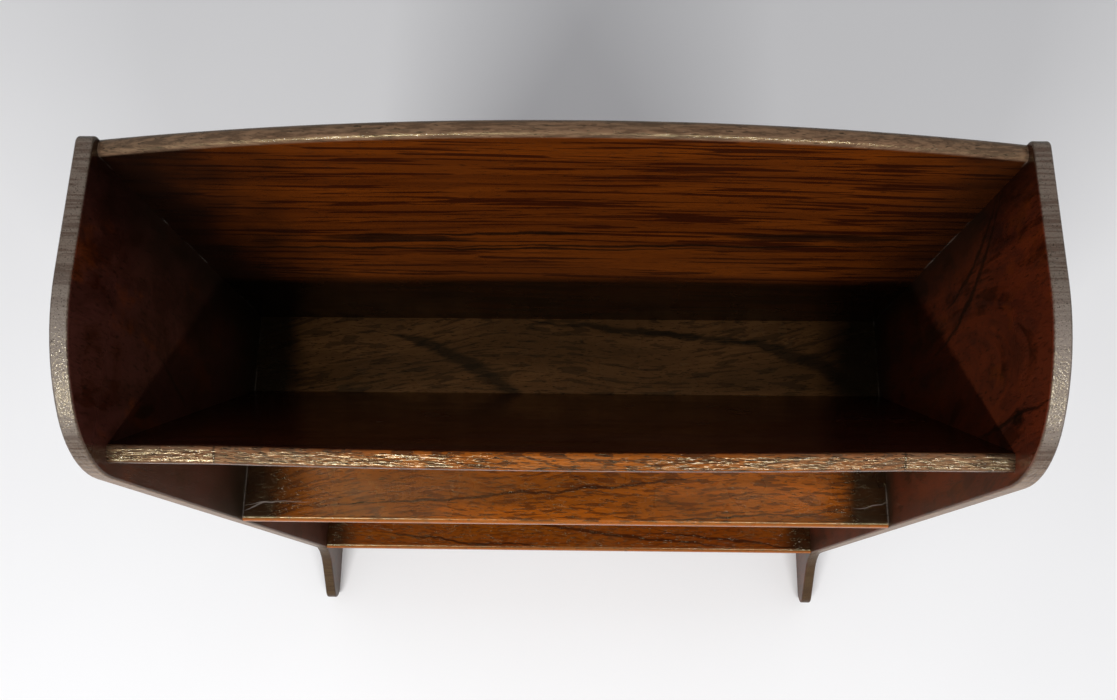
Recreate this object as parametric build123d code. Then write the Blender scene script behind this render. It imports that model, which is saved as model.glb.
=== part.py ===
"""Magazine rack: two shaped ends joined by a back panel, a leaning front rail and two shelves.

Millimetres. +X runs along the rack, -Y is the front and +Z is up.
The origin is on the floor, under the middle of the rack.
"""

import os
from math import cos, radians, sin, tan

from build123d import *

# ---- Driving dimensions ----
WIDTH = 610.0            # over the two ends
DEPTH = 262.0            # from the toes of the front feet to the back
BOARD = 12.0             # thickness of the ends, shelves and back panel
RAIL_BOARD = 13.0        # thickness of the leaning front rail
END_TOP = 751.0          # highest point of the ends
PANEL_TOP = 773.0        # top of the back panel's arch, the highest point of the rack
PANEL_SHOULDER = 744.0   # height of the arch where it meets the ends
MIDDLE_SHELF = 403.0     # top face of the middle shelf, the floor of the trough
BOTTOM_SHELF = 88.0      # top face of the bottom shelf
RAIL_TOP = 679.5         # height of the rail's inner face at its flat ends
RAIL_FOOT = 46.0         # where the rail's inner face meets the middle shelf, along Y
RAIL_LEAN = 20.0         # degrees that the rail leans forwards
RAIL_FLAT = 70.0         # level stretch at each end of the rail's top edge
RAIL_RISE = 12.0         # rise of the shallow arch between the level stretches
RAIL_BREAK = 40.0        # radius where a level stretch turns into the arch
ARCH_PIECES = 24         # short arcs that make up a shallow arch, so that its rounding meshes evenly

# ---- Outline of an end ----
REAR = DEPTH / 2
TOE = -DEPTH / 2
END_FRONT = -75.0        # upright front edge, also the front edge of both shelves
SHOULDER_TIGHT = 76.0    # radius of the front shoulder next to the upright edge
SHOULDER_WIDE = 134.0    # radius of the shoulder next to the top edge
SHOULDER_CHANGE = 38.0   # slope in degrees where one radius takes over from the other
TOP_FALL = 0.5           # degrees that the top edge falls towards the back
TOE_RADIUS = 14.0
FOOT_SLOPE = 41.0        # slope in degrees of the top of a front foot
FOOT_SWEEP = 55.0        # hollow radius between the foot and the upright edge
ARCH_FRONT = -57.0       # cut-out under an end, between its two feet
ARCH_REAR = 83.0
ARCH_RISE = 38.0
REAR_CORNER = 6.0        # rounding of an end's two rear corners
ARCH_CORNER = 4.0        # rounding where the cut-out meets the feet

# ---- Edges and housings ----
EASED = 1.8              # rounding of the ends' long edges
NOSING = 5.0             # rounding of the shelves' front edges
PANEL_ROUND = 4.5        # rounding of the back panel's top edge
RAIL_ROUND = 3.0         # rounding of the rail's top edge
TONGUE = 4.0             # depth to which each board is housed in the ends
SHELF_STOP = 12.0        # from a shelf's front edge to its housing
PANEL_STOP = 10.0        # from the panel's shoulder to its housing
RAIL_STOP = 25.0         # from the rail's top and foot to its housing
PANEL_LAP = 6.0          # how far the back panel reaches below the middle shelf

# ---- Fixings ----
PIN_LENGTH = 30.0
PIN_RADIUS = 0.8
PIN_HEAD_RADIUS = 1.4
PIN_HEAD = 1.2
PIN_POINT = 2.0
SHELF_PINS = (-45.0, 22.0, 90.0)        # along Y, at each end of each shelf
PANEL_PINS = (430.0, 570.0, 710.0)      # heights, at each end of the back panel
RAIL_PINS = (60.0, 235.0)               # distances up the rail from its foot
SCREW_RADIUS = 1.75
SCREW_HEAD_RADIUS = 3.5
SCREW_HEAD = 2.2
SCREW_POINT = 5.0
SLOT_WIDTH = 0.9
SLOT_DEPTH = 1.0
PANEL_SCREW = 32.0                      # length of a screw through the back panel
PANEL_SCREW_X = (-225.0, -75.0, 75.0, 225.0)
RAIL_SCREW = 26.0                       # length of a screw up into the rail
RAIL_SCREW_X = (-200.0, -67.0, 67.0, 200.0)
RAIL_SCREW_Y = 36.5
BLOCK_LEG = 18.0                        # legs of the triangular glue blocks
BLOCK_LENGTH = 60.0
BLOCK_Y = (-70.0, 45.0)                 # front ends of the two blocks on each side

# ---- Worked out from the above ----
INNER = WIDTH / 2 - BOARD               # inner face of an end
PANEL_FACE = REAR - BOARD               # inner face of the back panel
PANEL_FOOT = MIDDLE_SHELF - BOARD - PANEL_LAP
RAIL_UP = (RAIL_TOP - MIDDLE_SHELF) / cos(radians(RAIL_LEAN))
RAIL_PLANE = Plane(
    origin=(0, RAIL_FOOT, MIDDLE_SHELF),
    x_dir=(-1, 0, 0),
    z_dir=(0, cos(radians(RAIL_LEAN)), sin(radians(RAIL_LEAN))),
)


def box_between(low, high):
    """A box given by its lowest and highest corners."""
    size = [b - a for a, b in zip(low, high)]
    return Pos(*low) * Box(*size, align=Align.MIN)


def end_outline():
    """Side view of an end, front edge towards -X, as a face in the XY plane."""
    slope = radians(FOOT_SLOPE)
    change = radians(SHOULDER_CHANGE)
    arcs_reach = (TOE_RADIUS + FOOT_SWEEP) * (1 - sin(slope))
    foot_run = (END_FRONT - TOE - arcs_reach) / cos(slope)
    shoulder_rise = SHOULDER_WIDE * (1 - cos(change)) + SHOULDER_TIGHT * cos(change)
    toe = JernArc((TOE + TOE_RADIUS, 0), (-1, 0), TOE_RADIUS, FOOT_SLOPE - 180)
    foot = Line(toe @ 1, (toe @ 1) + (toe % 1) * foot_run)
    sweep = JernArc(foot @ 1, foot % 1, FOOT_SWEEP, 90 - FOOT_SLOPE)
    upright = Line(sweep @ 1, (END_FRONT, END_TOP - shoulder_rise))
    tight = JernArc(upright @ 1, (0, 1), SHOULDER_TIGHT, SHOULDER_CHANGE - 90)
    wide = JernArc(tight @ 1, tight % 1, SHOULDER_WIDE, -SHOULDER_CHANGE - TOP_FALL)
    top_run = (REAR - (wide @ 1).X) / cos(radians(TOP_FALL))
    top = Line(wide @ 1, (wide @ 1) + (wide % 1) * top_run)
    heel = Polyline(top @ 1, (REAR, 0), (ARCH_REAR, 0))
    arch = ThreePointArc(heel @ 1, ((ARCH_FRONT + ARCH_REAR) / 2, ARCH_RISE), (ARCH_FRONT, 0))
    sole = Line(arch @ 1, toe @ 0)
    outline = make_face([toe, foot, sweep, upright, tight, wide, top, heel, arch, sole])
    rear_corners = outline.vertices().group_by(Axis.X)[-1]
    outline = fillet(rear_corners, REAR_CORNER)
    feet = outline.vertices().group_by(Axis.Y)[0]
    arch_corners = [v for v in feet if ARCH_FRONT - 1 < v.X < ARCH_REAR + 1]
    return fillet(arch_corners, ARCH_CORNER)


def end_board():
    """The right-hand end with its long edges eased, before its joints are cut."""
    board = extrude(Plane.YZ.offset(INNER) * end_outline(), BOARD)
    sides = board.faces().filter_by(Plane.YZ)
    return fillet(sides.edges(), EASED)


def shelf(top):
    """A shelf with a rounded front edge and a stopped tongue at each end."""
    board = box_between((-INNER, END_FRONT, top - BOARD), (INNER, PANEL_FACE, top))
    board = fillet(board.edges().filter_by(Axis.X).group_by(Axis.Y)[0], NOSING)
    reach = INNER + TONGUE
    tongue_front = END_FRONT + SHELF_STOP
    return board + box_between((-reach, tongue_front, top - BOARD), (reach, PANEL_FACE, top))


def shallow_arch(half_span, foot, rise):
    """A shallow parabolic arch from -X to +X, as short arcs laid end to end."""
    step = 2 * half_span / ARCH_PIECES
    arcs = []
    for piece in range(ARCH_PIECES):
        start = piece * step - half_span
        places = [start, start + step / 2, start + step]
        arcs.append(ThreePointArc(*[(x, foot + rise * (1 - (x / half_span) ** 2)) for x in places]))
    return arcs


def back_panel():
    """The upright board behind the trough, with an arched and rounded top."""
    arch = shallow_arch(INNER, PANEL_SHOULDER, PANEL_TOP - PANEL_SHOULDER)
    sides = Polyline(arch[-1] @ 1, (INNER, PANEL_FOOT), (-INNER, PANEL_FOOT), arch[0] @ 0)
    board = extrude(Plane.XZ.offset(-PANEL_FACE) * make_face([*arch, sides]), -BOARD)
    board = fillet(board.edges().filter_by(GeomType.CIRCLE), PANEL_ROUND)
    reach = INNER + TONGUE
    tongue_top = PANEL_SHOULDER - PANEL_STOP
    return board + box_between((-reach, PANEL_FACE, PANEL_FOOT), (reach, REAR, tongue_top))


def front_rail():
    """The leaning board in front of the trough, bevelled at its foot to stand on the shelf."""
    flat = INNER - RAIL_FLAT
    spare = RAIL_BOARD * tan(radians(RAIL_LEAN))
    arch = shallow_arch(flat, RAIL_UP, RAIL_RISE)
    sides = Polyline(
        arch[-1] @ 1,
        (INNER, RAIL_UP),
        (INNER, -spare),
        (-INNER, -spare),
        (-INNER, RAIL_UP),
        arch[0] @ 0,
    )
    outline = make_face([*arch, sides])
    breaks = [v for v in outline.vertices() if abs(abs(v.X) - flat) < 1]
    board = extrude(RAIL_PLANE * fillet(breaks, RAIL_BREAK), -RAIL_BOARD)
    board = fillet(board.edges().filter_by(runs_along_rail_top), RAIL_ROUND)
    tongue = Pos(0, RAIL_UP / 2) * Rectangle(2 * (INNER + TONGUE), RAIL_UP - 2 * RAIL_STOP)
    board += extrude(RAIL_PLANE * tongue, -RAIL_BOARD)
    below_shelf = box_between((-WIDTH, -WIDTH, 0), (WIDTH, WIDTH, MIDDLE_SHELF))
    return board - below_shelf


def runs_along_rail_top(edge):
    """Whether an edge follows the rail's top, on either face of the board."""
    ends = [RAIL_PLANE.to_local_coords(v) for v in (edge @ 0, edge @ 1)]
    across = abs(ends[0].X - ends[1].X)
    return across > 1 and min(end.Y for end in ends) > RAIL_UP - 1


def turned(*points):
    """A turned solid from (radius, depth) points, with its head at the origin."""
    profile = make_face(Polyline(*points, close=True))
    return revolve(Plane.XZ * profile, Axis.Z)


def pin():
    """A panel pin with its head at the origin, pointing along +Z."""
    return turned(
        (0, 0),
        (PIN_HEAD_RADIUS, 0),
        (PIN_HEAD_RADIUS, PIN_HEAD),
        (PIN_RADIUS, PIN_HEAD),
        (PIN_RADIUS, PIN_LENGTH - PIN_POINT),
        (0, PIN_LENGTH),
    )


def screw(length):
    """A countersunk screw with its head at the origin, pointing along +Z, before it is slotted."""
    return turned(
        (0, 0),
        (SCREW_HEAD_RADIUS, 0),
        (SCREW_RADIUS, SCREW_HEAD),
        (SCREW_RADIUS, length - SCREW_POINT),
        (0, length),
    )


def slotted(blank):
    """A screw with its slot cut across the head."""
    return blank - Box(4 * SCREW_HEAD_RADIUS, SLOT_WIDTH, 2 * SLOT_DEPTH)


def end_pin_places():
    """Where the panel pins enter the right-hand end, as planes that face into the rack."""
    shelf_middles = [top - BOARD / 2 for top in (MIDDLE_SHELF, BOTTOM_SHELF)]
    spots = [(y, z) for z in shelf_middles for y in SHELF_PINS]
    spots += [(REAR - BOARD / 2, z) for z in PANEL_PINS]
    for up in RAIL_PINS:
        centre = RAIL_PLANE.from_local_coords((0, up, -RAIL_BOARD / 2))
        spots.append((centre.Y, centre.Z))
    return [Plane(origin=(WIDTH / 2, y, z), z_dir=(-1, 0, 0)) for y, z in spots]


def glue_block(front):
    """A triangular block rubbed into the corner under the bottom shelf's right-hand end."""
    under = BOTTOM_SHELF - BOARD
    corner = Polyline((INNER, under), (INNER, under - BLOCK_LEG), (INNER - BLOCK_LEG, under), close=True)
    return extrude(Plane.XZ.offset(-front) * make_face(corner), -BLOCK_LENGTH)


def build():
    """Every named piece of the rack."""
    panel_screw_places = [
        Plane(origin=(x, REAR, MIDDLE_SHELF - BOARD / 2), z_dir=(0, -1, 0)) for x in PANEL_SCREW_X
    ]
    rail_screw_places = [
        Plane(origin=(x, RAIL_SCREW_Y, MIDDLE_SHELF - BOARD), z_dir=(0, 0, 1)) for x in RAIL_SCREW_X
    ]
    panel_screw = screw(PANEL_SCREW)
    rail_screw = screw(RAIL_SCREW)
    panel_screw_holes = [place * panel_screw for place in panel_screw_places]
    rail_screw_holes = [place * rail_screw for place in rail_screw_places]

    right_pins = [place * pin() for place in end_pin_places()]
    left_pins = [mirror(p, Plane.YZ) for p in right_pins]
    pins = left_pins + right_pins
    right_blocks = [glue_block(front) for front in BLOCK_Y]
    left_blocks = [mirror(b, Plane.YZ) for b in right_blocks]

    boards = {
        "back_panel": back_panel(),
        "front_rail": front_rail(),
        "middle_shelf": shelf(MIDDLE_SHELF),
        "bottom_shelf": shelf(BOTTOM_SHELF),
    }
    right_end = end_board() - list(boards.values()) - right_pins
    pieces = {"left_end": mirror(right_end, Plane.YZ), "right_end": right_end}
    for name, board in boards.items():
        pieces[name] = board - pins - panel_screw_holes - rail_screw_holes
    pieces["back_panel_screws"] = [place * slotted(panel_screw) for place in panel_screw_places]
    pieces["front_rail_screws"] = [place * slotted(rail_screw) for place in rail_screw_places]
    pieces["left_end_pins"] = left_pins
    pieces["right_end_pins"] = right_pins
    pieces["left_glue_blocks"] = left_blocks
    pieces["right_glue_blocks"] = right_blocks
    return pieces


def write(pieces):
    """Writes one STEP file per piece; a group of like pieces shares one file."""
    os.makedirs("parts", exist_ok=True)
    for name, piece in pieces.items():
        if isinstance(piece, list):
            piece = Compound([solid for part in piece for solid in part.solids()])
        export_step(piece, f"parts/{name}.step")


write(build())
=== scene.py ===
from math import cos, radians, sin

import bpy
from mathutils import Matrix, Vector


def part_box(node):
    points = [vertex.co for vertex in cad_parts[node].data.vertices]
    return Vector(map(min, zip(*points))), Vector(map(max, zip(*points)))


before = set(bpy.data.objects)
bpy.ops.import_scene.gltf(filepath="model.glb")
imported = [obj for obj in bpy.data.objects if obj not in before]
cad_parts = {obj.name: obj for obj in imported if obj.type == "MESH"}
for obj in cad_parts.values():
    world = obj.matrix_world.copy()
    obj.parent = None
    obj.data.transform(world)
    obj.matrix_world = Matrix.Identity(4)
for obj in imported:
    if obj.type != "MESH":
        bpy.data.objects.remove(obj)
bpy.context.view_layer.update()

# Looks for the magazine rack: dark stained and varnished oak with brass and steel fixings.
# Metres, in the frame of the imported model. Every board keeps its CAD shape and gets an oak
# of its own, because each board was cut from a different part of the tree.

# ---- Camera and light ----
CAMERA_PLACE = (0.0147, -0.1662, 1.3164)
CAMERA_PITCH = 74.61                # degrees below the horizon
CAMERA_YAW = 3.139                  # degrees to the left of straight ahead
CAMERA_ROLL = -2.537                # degrees
CAMERA_SENSOR = 36.0                # mm
CAMERA_LENS = 32.23                 # mm
CAMERA_SHIFT = (-0.0077, 0.0033)    # shares of the sensor's width
KEY_HEIGHT = 44.0                   # degrees above the horizon, seen from the rail's top edge
KEY_AWAY = 1.9                      # distance from the rail's top edge
KEY_SIZE = (0.80, 0.10)
KEY_LIGHTS = {"left_key": (-0.78, 36.0), "right_key": (0.72, 24.0)}    # place along X, power
SKY = ((0.0, 0.46), (0.5, 0.42), (0.86, 0.42), (0.97, 0.22))           # sine of elevation, brightness
SKY_BLUE = 1.04                     # blue in the sky for each part of red or green
FLOOR_SIZE = 12.0

# ---- The object's own sizes: from the frame, or as in the CAD where no box gives them ----
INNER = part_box("right_glue_blocks")[1].x           # inner face of the right end
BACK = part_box("middle_shelf")[1].y                 # inner face of the back panel
FLOOR_OF_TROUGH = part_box("middle_shelf")[1].z
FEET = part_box("bottom_shelf")[1].z                 # height of the feet
RAIL_FOOT = 0.046                                  # where the rail's inner face meets the shelf
RAIL_LEAN = radians(20)
PANEL_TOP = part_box("back_panel")[1].z
PANEL_SHOULDER = 0.744                             # height of the panel's arch at the ends
PANEL_ROUND = 0.0045                               # rounding of the panel's top edge
RAIL_CUT = 0.070                                   # knife lines across the rail's top, from each end
SHOULDER = radians(26)                             # slope of the stretch of the ends' edges that gets a painted sky reflection
DUN_TO_OCHRE = (FEET * 0.8, FEET * 1.6)            # heights where the ends' edges change colour
OCHRE_TO_PEWTER = (FLOOR_OF_TROUGH * 1.6, FLOOR_OF_TROUGH * 1.78)
WORN_EDGE = (0.35, 0.8)                            # cosines between which a face becomes an edge
FORWARDS = (0, -1, 0)
AXES = {"X": 0, "Y": 1, "Z": 2}

# ---- The figure and the finish ----
BAND_WIDTH = 0.014             # a broad band of growth
FIGURE_DEPTH = 0.2             # how fast the figure changes through a board, against across it
LINE_BLUR = 0.04               # how softly a growth line and a pore end, in noise
PORE_BLUR = 0.06
STREAK_WANDER = 0.016          # how far a streak strays from its line
STREAK_THINNEST = 0.0005
STREAK_RAGS = 1.6              # how ragged its outline is
PORE_DARKNESS = 0.75
SHADE_AND_TONER_STRAY = 0.7              # how far the painted corner shade and toner stray in and out, against their reach
JOINT_GLINT = (0.0004, 0.0016)   # where the painted glint along a joint starts to fade, and where it ends
DENT_DEPTH = 4.0               # the boards' slow unevenness, against their fine ripple
BUMP_DISTANCE = 0.00022
BUMP_STRENGTH = 0.6

# ---- Noise, as cells to the metre: along the board, outwards through its rings, through it ----
BAND_CELLS = (4, 1 / BAND_WIDTH, 10)
FIBRE_CELLS = (35, 900, 300)
LINE_CELLS_THROUGH = 60

# ---- Noise, as cells to the metre: along, across and through the board ----
DRIFT_CELLS = (2.2, 5.0, 5.0)
PORE_CELLS = (150, 1200, 1200)
WANDER_CELLS = (18, 0, 0)
SWELL_CELLS = (26, 0, 0)
RAG_CELLS = (45, 700, 700)
CLOUD_CELLS = (14, 14, 14)
RIPPLE_CELLS = (80, 620, 620)
DENT_CELLS = (8, 45, 45)
SHADE_AND_TONER_CELLS = (24, 24, 24)
WEAR_CELLS = (55, 420, 420)
MOTTLE_CELLS = (30, 42, 42)
FOXING_CELLS = (14, 26, 26)

# ---- Noise, as cells to the metre: along X, Y and Z ----
GLINT_CELLS = (18, 18, 18)
SAW_CELLS = (25, 480, 480)
TARNISH_CELLS = (900, 900, 900)
FLOOR_CELLS = (3, 3, 3)

# ---- Stains, as linear colours ----
AMBER = (0.150, 0.036, 0.0018, 1)
HONEY = (0.110, 0.0235, 0.0020, 1)
CHESTNUT = (0.072, 0.0150, 0.0016, 1)
TAN = (0.260, 0.080, 0.0090, 1)
BROWN = (0.070, 0.0145, 0.0016, 1)
RED_BROWN = (0.060, 0.0165, 0.0125, 1)
UMBER = (0.020, 0.0032, 0.0010, 1)
NEAR_BLACK = (0.0050, 0.0022, 0.0014, 1)
SLATE = (0.0085, 0.0085, 0.0080, 1)
DRAB = (0.430, 0.195, 0.064, 1)
DARK_DRAB = (0.240, 0.106, 0.034, 1)
FOXY = (0.105, 0.0170, 0.0055, 1)
DUN = (0.055, 0.029, 0.012, 1)
FAWN = (0.150, 0.090, 0.054, 1)
BARK = (0.068, 0.041, 0.026, 1)
OCHRE = (0.190, 0.098, 0.040, 1)
PEWTER = (0.115, 0.092, 0.076, 1)
ASH = (0.240, 0.210, 0.185, 1)
UMBER_RED = (0.030, 0.0075, 0.0050, 1)
VARNISH = (1.0, 0.82, 0.42, 1)
ORANGE = (0.290, 0.066, 0.0026, 1)
GOLD = (0.310, 0.074, 0.0028, 1)
RUSSET = (0.130, 0.0235, 0.0014, 1)

# ---- Dark heartwood streaks: place along and across the board, half length, half width,
# then slope, bend and how much wider the streak grows for each metre along it ----
PANEL_STREAKS = (
    (-0.126, 0.607, 0.058, 0.0080, 0.00, 0.0, 0.0),
    (-0.040, 0.617, 0.066, 0.0034, 0.02, 0.0, 0.040),
    (-0.100, 0.586, 0.260, 0.0020, 0.00, 0.04, 0.0),
    (0.190, 0.613, 0.076, 0.0080, -0.05, 0.0, 0.0),
    (0.080, 0.594, 0.210, 0.0022, 0.01, -0.03, 0.0),
)
TROUGH_STREAKS = (
    (-0.110, 0.084, 0.100, 0.0062, -0.48, -2.7, 0.06),
    (0.070, 0.1075, 0.110, 0.0032, -0.095, -0.1, 0.01),
    (0.215, 0.085, 0.080, 0.0075, -0.38, -3.0, 0.05),
)
SHELF_STREAKS = (
    (-0.060, -0.050, 0.210, 0.0013, 0.080, 0.13, 0.002),
    (0.160, -0.067, 0.100, 0.0009, 0.05, 0.0, 0.0),
)
BOTTOM_STREAKS = (
    (-0.125, -0.066, 0.115, 0.0016, -0.075, 0.30, 0.0),
    (0.060, -0.056, 0.150, 0.0020, -0.11, 0.15, 0.0),
    (0.190, -0.060, 0.100, 0.0016, -0.10, -0.20, 0.0),
)
SHELF_SCRATCHES = (
    (-0.262, -0.0590, 0.028, 0.0006, 0.08, 0.0, 0.0),
    (-0.281, -0.0625, 0.010, 0.0007, 0.35, 0.0, 0.0),
    (0.279, -0.0555, 0.016, 0.0005, 0.12, 0.0, 0.0),
)
RIGHT_END_STREAKS = (
    (0.675, -0.033, 0.060, 0.0016, 0.02, 0.0, 0.0),
    (0.688, -0.035, 0.008, 0.0055, 0.0, 0.0, 0.0),
    (0.640, 0.070, 0.075, 0.0030, 0.55, 3.0, 0.0),
    (0.655, 0.092, 0.070, 0.0022, 0.50, 3.0, 0.0),
)
LEFT_END_STREAKS = (
    (0.630, -0.024, 0.016, 0.0050, -0.40, 0.0, 0.0),
    (0.585, 0.010, 0.030, 0.0020, 0.45, -3.0, 0.0),
)


class Shader:
    """A material's nodes, built a step at a time from the surface's own place and normal.

    surface sets the shader's own sockets by name, with _ for a space.
    """

    def __init__(self, name, **surface):
        self.material = bpy.data.materials.new(name)
        self.material.use_nodes = True
        self.nodes = self.material.node_tree.nodes
        self.links = self.material.node_tree.links
        self.surface = self.nodes["Principled BSDF"]
        for socket, value in surface.items():
            self.surface.inputs[socket.replace("_", " ")].default_value = value
        place = self.node("ShaderNodeTexCoord")
        self.place = place.outputs["Object"]
        self.normal = place.outputs["Normal"]

    def node(self, kind, *inputs, **settings):
        """A node with its settings made and its first inputs fed by sockets or values."""
        made = self.nodes.new(kind)
        for name, value in settings.items():
            setattr(made, name, value)
        for socket, value in zip(made.inputs, inputs):
            self.feed(socket, value)
        return made

    def feed(self, socket, value):
        """Links a socket to another, or sets its value."""
        if isinstance(value, bpy.types.NodeSocket):
            self.links.new(value, socket)
        else:
            socket.default_value = value

    def math(self, operation, *values):
        return self.node("ShaderNodeMath", *values, operation=operation).outputs[0]

    def times(self, *values):
        product = values[0]
        for value in values[1:]:
            product = self.math("MULTIPLY", product, value)
        return product

    def split(self, vector):
        return self.node("ShaderNodeSeparateXYZ", vector).outputs

    def join(self, x, y, z):
        return self.node("ShaderNodeCombineXYZ", x, y, z).outputs[0]

    def scaled(self, vector, factors):
        made = self.node("ShaderNodeVectorMath", vector, factors, operation="MULTIPLY")
        return made.outputs[0]

    def noise(self, vector, detail=2.0, roughness=0.5, distortion=0.0):
        made = self.node("ShaderNodeTexNoise", vector)
        settings = {"Scale": 1.0, "Detail": detail, "Roughness": roughness, "Distortion": distortion}
        for name, value in settings.items():
            made.inputs[name].default_value = value
        return made.outputs["Fac"]

    def swing(self, vector, detail=2.0, roughness=0.5):
        """Noise about zero."""
        return self.math("SUBTRACT", self.noise(vector, detail, roughness), 0.5)

    def between(self, value, low, high, at_low=0.0, at_high=1.0):
        """A smooth step, at_low up to low and at_high from high on."""
        made = self.node(
            "ShaderNodeMapRange", value, low, high, at_low, at_high, interpolation_type="SMOOTHSTEP"
        )
        return made.outputs[0]

    def rising(self, amount, at_none, at_full):
        """A number that goes evenly from at_none to at_full as the amount goes from 0 to 1."""
        return self.math("MULTIPLY_ADD", amount, at_full - at_none, at_none)

    def blend(self, amount, first, second):
        made = self.node("ShaderNodeMix", data_type="RGBA")
        for place, value in ((0, amount), (6, first), (7, second)):
            self.feed(made.inputs[place], value)
        return made.outputs[2]

    def facing(self, direction, low, high):
        """1 where the surface faces the direction, 0 where it faces well away from it."""
        made = self.node("ShaderNodeVectorMath", self.normal, direction, operation="DOT_PRODUCT")
        return self.between(made.outputs["Value"], low, high)

    def away_from(self, axis, value):
        """Distance along an axis from a plane."""
        off = self.math("SUBTRACT", self.split(self.place)[AXES[axis]], value)
        return self.math("ABSOLUTE", off)


class Oak(Shader):
    """Varnished oak. Its figure follows the tree's rings, which are tubes about the heart.

    order names the axes along, across and through the board, and lean turns them about X.
    heart is the rings' centre, across and through. sway is how far the rings wander about it,
    and taper how much they narrow for each metre along. gloss is the weight of the varnish.
    """

    def __init__(self, name, order, heart, sway, seed, taper=0.02, lean=0.0, gloss=0.09):
        varnish = {"Coat_Weight": gloss, "Coat_Roughness": 0.07, "Coat_IOR": 1.5}
        super().__init__(name, IOR=1.45, Specular_Tint=VARNISH, **varnish)
        place = self.place
        if lean:
            turned = self.node("ShaderNodeVectorRotate", place, rotation_type="X_AXIS")
            turned.inputs["Angle"].default_value = lean
            place = turned.outputs[0]
        parts = self.split(place)
        self.along, self.across, self.through = (parts[AXES[letter]] for letter in order)
        self.wide = self.join(self.math("ADD", self.along, seed), self.across, self.through)
        drift = self.node("ShaderNodeTexNoise", self.scaled(self.wide, DRIFT_CELLS))
        drift.inputs["Scale"].default_value = 1.0
        sways = self.node("ShaderNodeSeparateColor", drift.outputs["Color"]).outputs
        legs = []
        for value, centre, wander in zip((self.across, self.through), heart, sways):
            leg = self.math("ADD", self.math("SUBTRACT", value, centre), self.times(wander, sway))
            legs.append(self.math("POWER", leg, 2.0))
        radius = self.math("SQRT", self.math("ADD", *legs))
        radius = self.math("ADD", radius, self.times(self.along, taper))
        self.grain = self.join(
            self.math("ADD", self.along, seed), radius, self.times(self.through, FIGURE_DEPTH)
        )

    def bands(self):
        """Broad light and dark bands of growth, 0 to 1."""
        growth = self.noise(self.scaled(self.grain, BAND_CELLS), detail=3.0, roughness=0.6)
        return self.between(growth, 0.36, 0.64)

    def lines(self, width, length, share):
        """Dark growth lines that fade in and out along the board, 1 on a line."""
        stretched = self.scaled(self.grain, (1 / length, 1 / width, LINE_CELLS_THROUGH))
        growth = self.noise(stretched, detail=3.0, distortion=0.3)
        return self.between(growth, share, share + LINE_BLUR)

    def fibres(self):
        """Fine silky streaks, about 0 to 1."""
        return self.noise(self.scaled(self.grain, FIBRE_CELLS), roughness=0.6)

    def pores(self, share):
        """Short open pores filled with dark stain, 1 in a pore."""
        close = self.join(self.along, self.across, self.through)
        holes = self.noise(self.scaled(close, PORE_CELLS), roughness=0.55)
        return self.between(holes, share, share + PORE_BLUR)

    def streak(self, along, across, half_length, half_width, slope, bend, flare):
        """A dark streak on a straight or bowed line, tapered at both ends, 1 inside."""
        run = self.math("SUBTRACT", self.along, along)
        wander = self.swing(self.scaled(self.wide, WANDER_CELLS), detail=3.0, roughness=0.6)
        line = self.math("ADD", self.times(run, slope), self.times(run, run, bend))
        line = self.math("ADD", line, self.times(wander, STREAK_WANDER))
        off = self.math("SUBTRACT", self.math("SUBTRACT", self.across, across), line)
        swell = self.noise(self.scaled(self.wide, SWELL_CELLS))
        width = self.math("ADD", self.times(run, flare), self.times(swell, 2 * half_width))
        off = self.math("ABSOLUTE", off)
        near = self.math("DIVIDE", off, self.math("MAXIMUM", width, STREAK_THINNEST))
        size = self.math("ADD", near, self.math("POWER", self.times(run, 1 / half_length), 2.0))
        rags = self.swing(self.scaled(self.wide, RAG_CELLS), roughness=0.6)
        size = self.math("ADD", size, self.times(rags, STREAK_RAGS))
        return self.between(size, 0.5, 1.5, 1.0, 0.0)

    def streaked(self, colour, places, dark, strength=0.85):
        """Lays dark streaks over a colour."""
        for place in places:
            colour = self.blend(self.times(self.streak(*place), strength), colour, dark)
        return colour

    def figured(self, light, middle, dark, share=0.5, width=0.0018, length=0.06, contrast=0.75):
        """The stained colour of the figure, before wear and toner.

        Lines cover less of the board as share goes up. width and length are those of a line.
        Broader, longer and fainter lines lie under the fine ones.
        """
        colour = self.blend(self.bands(), middle, light)
        fibre = self.between(self.fibres(), 0.38, 0.62)
        colour = self.blend(self.times(fibre, 0.45), colour, middle)
        broad = self.lines(width * 3, length * 2, share + 0.05)
        colour = self.blend(self.times(broad, contrast * 0.35), colour, dark)
        return self.blend(self.times(self.lines(width, length, share), contrast), colour, dark)

    def finish(self, colour, ripple, pore_share=0.60, pore_depth=0.5, roughness=(0.20, 0.32)):
        """Joins colour, pores, roughness and bump to the surface.

        The roughness is a socket, or a pair that it wanders between.
        """
        pores = self.pores(pore_share)
        colour = self.blend(self.times(pores, PORE_DARKNESS), colour, NEAR_BLACK)
        self.feed(self.surface.inputs["Base Color"], colour)
        if isinstance(roughness, tuple):
            cloudy = self.noise(self.scaled(self.wide, CLOUD_CELLS), detail=3.0, roughness=0.6)
            roughness = self.between(cloudy, 0.3, 0.7, *roughness)
        self.feed(self.surface.inputs["Roughness"], roughness)
        fine = self.times(self.noise(self.scaled(self.wide, RIPPLE_CELLS), roughness=0.55), ripple)
        slow = self.times(self.noise(self.scaled(self.wide, DENT_CELLS), detail=1.0), DENT_DEPTH)
        uneven = self.math("ADD", fine, slow)
        height = self.math("SUBTRACT", uneven, self.times(pores, pore_depth))
        bump = self.node("ShaderNodeBump")
        settings = {"Strength": BUMP_STRENGTH, "Distance": BUMP_DISTANCE, "Height": height}
        for name, value in settings.items():
            self.feed(bump.inputs[name], value)
        self.feed(self.surface.inputs["Normal"], bump.outputs[0])
        self.feed(self.surface.inputs["Coat Normal"], bump.outputs[0])
        return self.material

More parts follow.
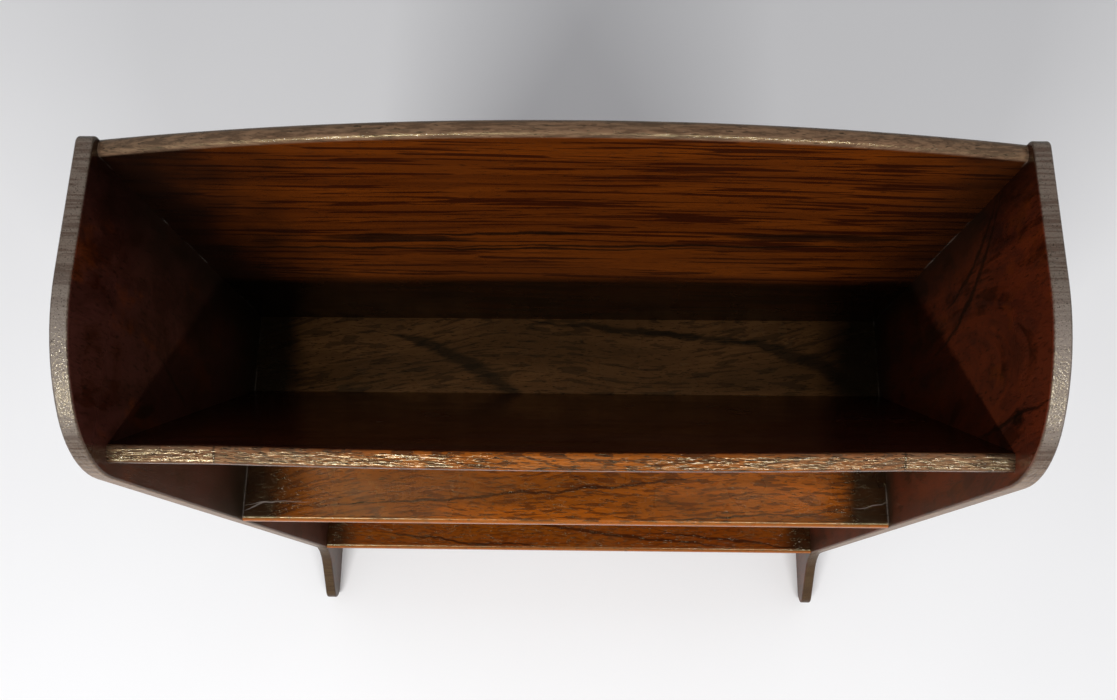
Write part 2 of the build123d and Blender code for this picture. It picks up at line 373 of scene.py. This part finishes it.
    def from_ends(self):
        """Distance from the inner face of the nearer end."""
        return self.math("SUBTRACT", INNER, self.math("ABSOLUTE", self.split(self.place)[0]))

    def from_end(self, side):
        """Distance from the inner face of the left end, -1, or the right end, 1."""
        return self.math("SUBTRACT", INNER, self.times(self.split(self.place)[0], side))

    def shaded_and_toned(self, colour, distance, reach, strength=0.85, start=0.0):
        """Darkens the stain towards a corner: painted shade, with some toner and old polish."""
        cloudy = self.swing(self.scaled(self.wide, SHADE_AND_TONER_CELLS))
        edge = self.math("ADD", distance, self.times(cloudy, reach * SHADE_AND_TONER_STRAY))
        return self.blend(self.between(edge, start, reach, strength, 0.0), colour, NEAR_BLACK)

    def joint_glint(self, colour):
        """A painted glint: a pale hairline along the joint with an end, here and there."""
        distance = self.from_ends()
        glint_patches = self.between(self.noise(self.scaled(self.place, GLINT_CELLS)), 0.45, 0.6)
        line = self.between(distance, *JOINT_GLINT, 0.4, 0.0)
        return self.blend(self.times(line, glint_patches), colour, ASH)

    def paler_edge(self, colour, amount, light, dark):
        """A paler edge with dark dirt left in its grain: hand wear, on the rail's top ends partly
        painted sheen.
        """
        dirt = self.noise(self.scaled(self.wide, WEAR_CELLS), detail=4.0, roughness=0.7)
        edge = self.blend(self.between(dirt, 0.40, 0.60), dark, light)
        return self.blend(amount, colour, edge)


def back_panel_oak():
    """Straight lines on orange brown, near black at the ends from painted shade and toner, with a dry
    worn top edge.
    """
    oak = Oak("back_panel_oak", "XZY", heart=(0.28, -0.25), sway=0.02, taper=0.015, seed=3.1)
    colour = oak.figured(HONEY, CHESTNUT, UMBER, share=0.53, width=0.0028, length=0.090, contrast=0.9)
    colour = oak.streaked(colour, PANEL_STREAKS, NEAR_BLACK)
    # Painted shade and toner towards each end, wider and darker on the left, where the left end
    # shades the panel.
    colour = oak.shaded_and_toned(colour, oak.from_end(-1), reach=0.150, strength=0.95, start=0.015)
    colour = oak.shaded_and_toned(colour, oak.from_end(1), reach=0.100, strength=0.7)
    # Painted glint along the joints with the ends.
    colour = oak.joint_glint(colour)
    arch = (PANEL_TOP - PANEL_SHOULDER) / INNER ** 2
    fall = oak.times(oak.along, oak.along, arch)
    below_arch = oak.math("SUBTRACT", PANEL_TOP, oak.math("ADD", fall, oak.across))
    top = oak.between(below_arch, PANEL_ROUND * 0.5, PANEL_ROUND, 0.85, 0.0)
    colour = oak.paler_edge(colour, top, FAWN, BARK)
    return oak.finish(colour, ripple=oak.rising(top, 0.6, 2.8), pore_share=0.62)


def front_rail_oak():
    """Dark faces and a bright dented top edge, greyed towards its ends by wear and a painted sheen.
    """
    heart = (0.1, -0.06)
    oak = Oak("front_rail_oak", "XZY", heart, sway=0.015, lean=-RAIL_LEAN, seed=7.7, gloss=0.15)
    colour = oak.figured(BROWN, RED_BROWN, UMBER)
    # Painted shade and toner, darker towards the ends.
    colour = oak.shaded_and_toned(colour, oak.from_ends(), reach=0.05)
    top = oak.facing((0, -sin(RAIL_LEAN), cos(RAIL_LEAN)), *WORN_EDGE)
    edge = oak.figured(GOLD, AMBER, UMBER, width=0.0011, length=0.016)
    colour = oak.blend(top, colour, edge)
    # Greyer towards the ends of the top edge: partly wear, partly a painted sheen where the lamps
    # reflect.
    wear_and_sheen = oak.between(oak.from_ends(), 0.02, 0.22, 0.75, 0.0)
    colour = oak.paler_edge(colour, oak.times(top, wear_and_sheen), FAWN, BARK)
    from_cut = oak.math("ABSOLUTE", oak.math("SUBTRACT", oak.from_ends(), RAIL_CUT))
    cut = oak.times(oak.between(from_cut, 0.0003, 0.0012, 0.65, 0.0), top)
    colour = oak.blend(cut, colour, NEAR_BLACK)
    # Painted shade and toner on the top edge, darker close to the ends.
    colour = oak.shaded_and_toned(colour, oak.from_ends(), reach=0.035, strength=oak.times(top, 0.65))
    ripple = oak.rising(top, 0.4, 3.2)
    return oak.finish(colour, ripple, pore_share=0.56, pore_depth=1.2, roughness=(0.16, 0.28))


def middle_shelf_oak():
    """Bright orange in front of the rail, and drab with slate streaks in the trough."""
    oak = Oak("middle_shelf_oak", "XYZ", heart=(0.30, -0.12), sway=0.05, taper=0.05, seed=1.3)
    front = oak.figured(ORANGE, AMBER, BROWN, share=0.52, width=0.0013, length=0.018, contrast=0.85)
    front = oak.streaked(front, SHELF_STREAKS, UMBER)
    trough = oak.figured(DRAB, DARK_DRAB, SLATE, share=0.54, width=0.0016, length=0.03, contrast=0.5)
    trough = oak.streaked(trough, TROUGH_STREAKS, SLATE, strength=0.75)
    behind_rail = oak.between(oak.across, RAIL_FOOT - 0.008, RAIL_FOOT)
    colour = oak.blend(behind_rail, front, trough)
    # Painted shade and toner: near black towards the ends.
    colour = oak.shaded_and_toned(colour, oak.from_ends(), reach=0.062, strength=0.95, start=0.024)
    colour = oak.streaked(colour, SHELF_SCRATCHES, ASH, strength=0.4)
    # Painted glint along the joints with the ends.
    colour = oak.joint_glint(colour)
    colour = oak.paler_edge(colour, oak.facing(FORWARDS, *WORN_EDGE), TAN, ORANGE)
    return oak.finish(colour, ripple=0.6)


def bottom_shelf_oak():
    """Short lines on russet and amber, with a few long streaks."""
    oak = Oak("bottom_shelf_oak", "XYZ", heart=(0.20, -0.15), sway=0.05, taper=0.03, seed=5.2)
    colour = oak.figured(RUSSET, AMBER, BROWN, share=0.52, width=0.0016, length=0.012)
    colour = oak.streaked(colour, BOTTOM_STREAKS, UMBER)
    # Painted shade and toner, darker towards the ends.
    colour = oak.shaded_and_toned(colour, oak.from_ends(), reach=0.045, start=0.012)
    # Painted glint along the joints with the ends.
    colour = oak.joint_glint(colour)
    colour = oak.paler_edge(colour, oak.facing(FORWARDS, *WORN_EDGE), TAN, ORANGE)
    return oak.finish(colour, ripple=0.6)


def end_oak(name, seed, light, streaks=(), reach=0.045):
    """Mottled red brown, darkened in the trough's corners by painted shade and toner. reach is how
    far it comes out.

    The saw-marked edge is dun at the foot, then ochre, and pewter grey from the shoulder up.
    """
    oak = Oak(name, "ZYX", heart=(0.02, 0.16), sway=0.05, taper=0.04, seed=seed, gloss=0.2)
    colour = oak.figured(light, UMBER_RED, UMBER, share=0.55, width=0.0030, length=0.045)
    for cells, low, high, amount, stain in (
        (MOTTLE_CELLS, 0.42, 0.60, 0.6, light),
        (FOXING_CELLS, 0.54, 0.66, 0.35, RUSSET),
    ):
        patches = oak.noise(oak.scaled(oak.wide, cells), detail=4.0, roughness=0.65)
        colour = oak.blend(oak.times(oak.between(patches, low, high), amount), colour, stain)
    colour = oak.streaked(colour, streaks, NEAR_BLACK, strength=0.8)
    from_middle = oak.math("ABSOLUTE", oak.through)
    inside = oak.between(from_middle, INNER + 0.001, INNER + 0.003, 0.85, 0.0)
    # Painted shade and toner on the inner face, in the corners with the back panel and the trough's
    # floor.
    for axis, plane in (("Y", BACK), ("Z", FLOOR_OF_TROUGH)):
        colour = oak.shaded_and_toned(colour, oak.away_from(axis, plane), reach, strength=inside)
    edge = oak.between(oak.math("ABSOLUTE", oak.split(oak.normal)[0]), 0.35, 0.97, 1.0, 0.0)
    saw_marks = oak.noise(oak.scaled(oak.place, SAW_CELLS), detail=3.0, roughness=0.6)
    saw_marks = oak.between(saw_marks, 0.44, 0.58)
    high_up = oak.between(oak.along, *OCHRE_TO_PEWTER)
    edge_colour = oak.blend(oak.between(oak.along, *DUN_TO_OCHRE), DUN, OCHRE)
    edge_colour = oak.blend(high_up, edge_colour, PEWTER)
    edge_colour = oak.blend(oak.times(saw_marks, 0.55), edge_colour, UMBER)
    # Painted reflection of the sky: ash grey where the edge faces up and forwards, from the shoulder
    # up.
    sky_reflection = oak.facing((0, -sin(SHOULDER), cos(SHOULDER)), 0.88, 1.0)
    edge_colour = oak.blend(oak.times(sky_reflection, high_up, 0.65), edge_colour, ASH)
    colour = oak.blend(oak.times(edge, 0.9), colour, edge_colour)
    roughness = oak.rising(high_up, 0.48, 0.22)
    ripple = oak.rising(edge, 0.4, 4.8)
    return oak.finish(colour, ripple, pore_depth=0.3, roughness=roughness)


def metal(name, colour, roughness):
    """Plain turned metal, dulled unevenly by age."""
    made = Shader(name, Metallic=1.0)
    age = made.noise(made.scaled(made.place, TARNISH_CELLS), detail=3.0, roughness=0.6)
    dull = tuple(0.45 * part for part in colour)
    made.feed(made.surface.inputs["Base Color"], made.blend(age, (*colour, 1), (*dull, 1)))
    tarnished = made.between(age, 0.3, 0.7, roughness, roughness + 0.25)
    made.feed(made.surface.inputs["Roughness"], tarnished)
    return made.material


def floor_paint():
    """Pale matt paint with a very slight unevenness."""
    made = Shader("floor_paint", Roughness=0.9)
    cloudy = made.noise(made.scaled(made.place, FLOOR_CELLS), detail=3.0)
    paint = made.blend(cloudy, (0.86, 0.86, 0.86, 1), (0.9, 0.9, 0.9, 1))
    made.feed(made.surface.inputs["Base Color"], paint)
    return made.material


def dress(material, *nodes):
    """Gives a material to CAD nodes by their material slots."""
    for name in nodes:
        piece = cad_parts[name]
        for slot in piece.material_slots:
            slot.material = material


def make_floor():
    """A plain floor that runs on well past the rack."""
    bpy.ops.mesh.primitive_plane_add(size=FLOOR_SIZE, location=(0, 0, 0))
    floor = bpy.context.object
    floor.name = "floor"
    floor.data.materials.append(floor_paint())


def make_key_light(name, side, power):
    """A wide, thin softbox in front of the rack and above it, level with its twin."""
    rail_low, rail_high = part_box("front_rail")
    height = radians(KEY_HEIGHT)
    lamp = bpy.data.lights.new(name, "AREA")
    lamp.shape = "RECTANGLE"
    lamp.size, lamp.size_y = KEY_SIZE
    lamp.energy = power
    key = bpy.data.objects.new(name, lamp)
    reach = Vector((side, -KEY_AWAY * cos(height), KEY_AWAY * sin(height)))
    key.location = Vector((0, rail_low.y, rail_high.z)) + reach
    key.rotation_euler = (radians(90 - KEY_HEIGHT), 0, 0)
    bpy.context.scene.collection.objects.link(key)


def make_world():
    """Pale surroundings, darker overhead than at the horizon."""
    world = bpy.data.worlds.new("studio")
    world.use_nodes = True
    nodes, links = world.node_tree.nodes, world.node_tree.links
    place = nodes.new("ShaderNodeTexCoord")
    height = nodes.new("ShaderNodeSeparateXYZ")
    ramp = nodes.new("ShaderNodeValToRGB")
    while len(ramp.color_ramp.elements) < len(SKY):
        ramp.color_ramp.elements.new(0.5)
    for step, (rise, level) in zip(ramp.color_ramp.elements, SKY):
        step.position = rise
        step.color = (level, level, level * SKY_BLUE, 1)
    links.new(place.outputs["Generated"], height.inputs[0])
    links.new(height.outputs["Z"], ramp.inputs[0])
    links.new(ramp.outputs[0], nodes["Background"].inputs[0])
    bpy.context.scene.world = world


def make_camera():
    """A camera above the rack and in front of it, looking steeply down."""
    lens = bpy.data.cameras.new("camera")
    lens.sensor_width = CAMERA_SENSOR
    lens.lens = CAMERA_LENS
    lens.shift_x, lens.shift_y = CAMERA_SHIFT
    camera = bpy.data.objects.new("camera", lens)
    turn = Matrix.Rotation(radians(CAMERA_YAW), 4, "Z")
    tip = Matrix.Rotation(radians(90 - CAMERA_PITCH), 4, "X")
    roll = Matrix.Rotation(radians(CAMERA_ROLL), 4, "Z")
    camera.matrix_world = Matrix.Translation(CAMERA_PLACE) @ turn @ tip @ roll
    bpy.context.scene.collection.objects.link(camera)
    bpy.context.scene.camera = camera


bpy.context.scene.view_settings.view_transform = "Standard"
make_camera()
make_world()
for name, (side, power) in KEY_LIGHTS.items():
    make_key_light(name, side, power)
make_floor()
dress(back_panel_oak(), "back_panel")
dress(front_rail_oak(), "front_rail")
dress(middle_shelf_oak(), "middle_shelf")
dress(bottom_shelf_oak(), "bottom_shelf")
dress(end_oak("left_end_oak", 2.0, RED_BROWN, LEFT_END_STREAKS, reach=0.080), "left_end")
dress(end_oak("right_end_oak", 9.0, FOXY, RIGHT_END_STREAKS), "right_end")
dress(end_oak("block_oak", 4.0, RED_BROWN), "left_glue_blocks", "right_glue_blocks")
dress(metal("brass", (0.55, 0.38, 0.13), 0.3), "back_panel_screws", "front_rail_screws")
dress(metal("steel", (0.42, 0.41, 0.40), 0.35), "left_end_pins", "right_end_pins")
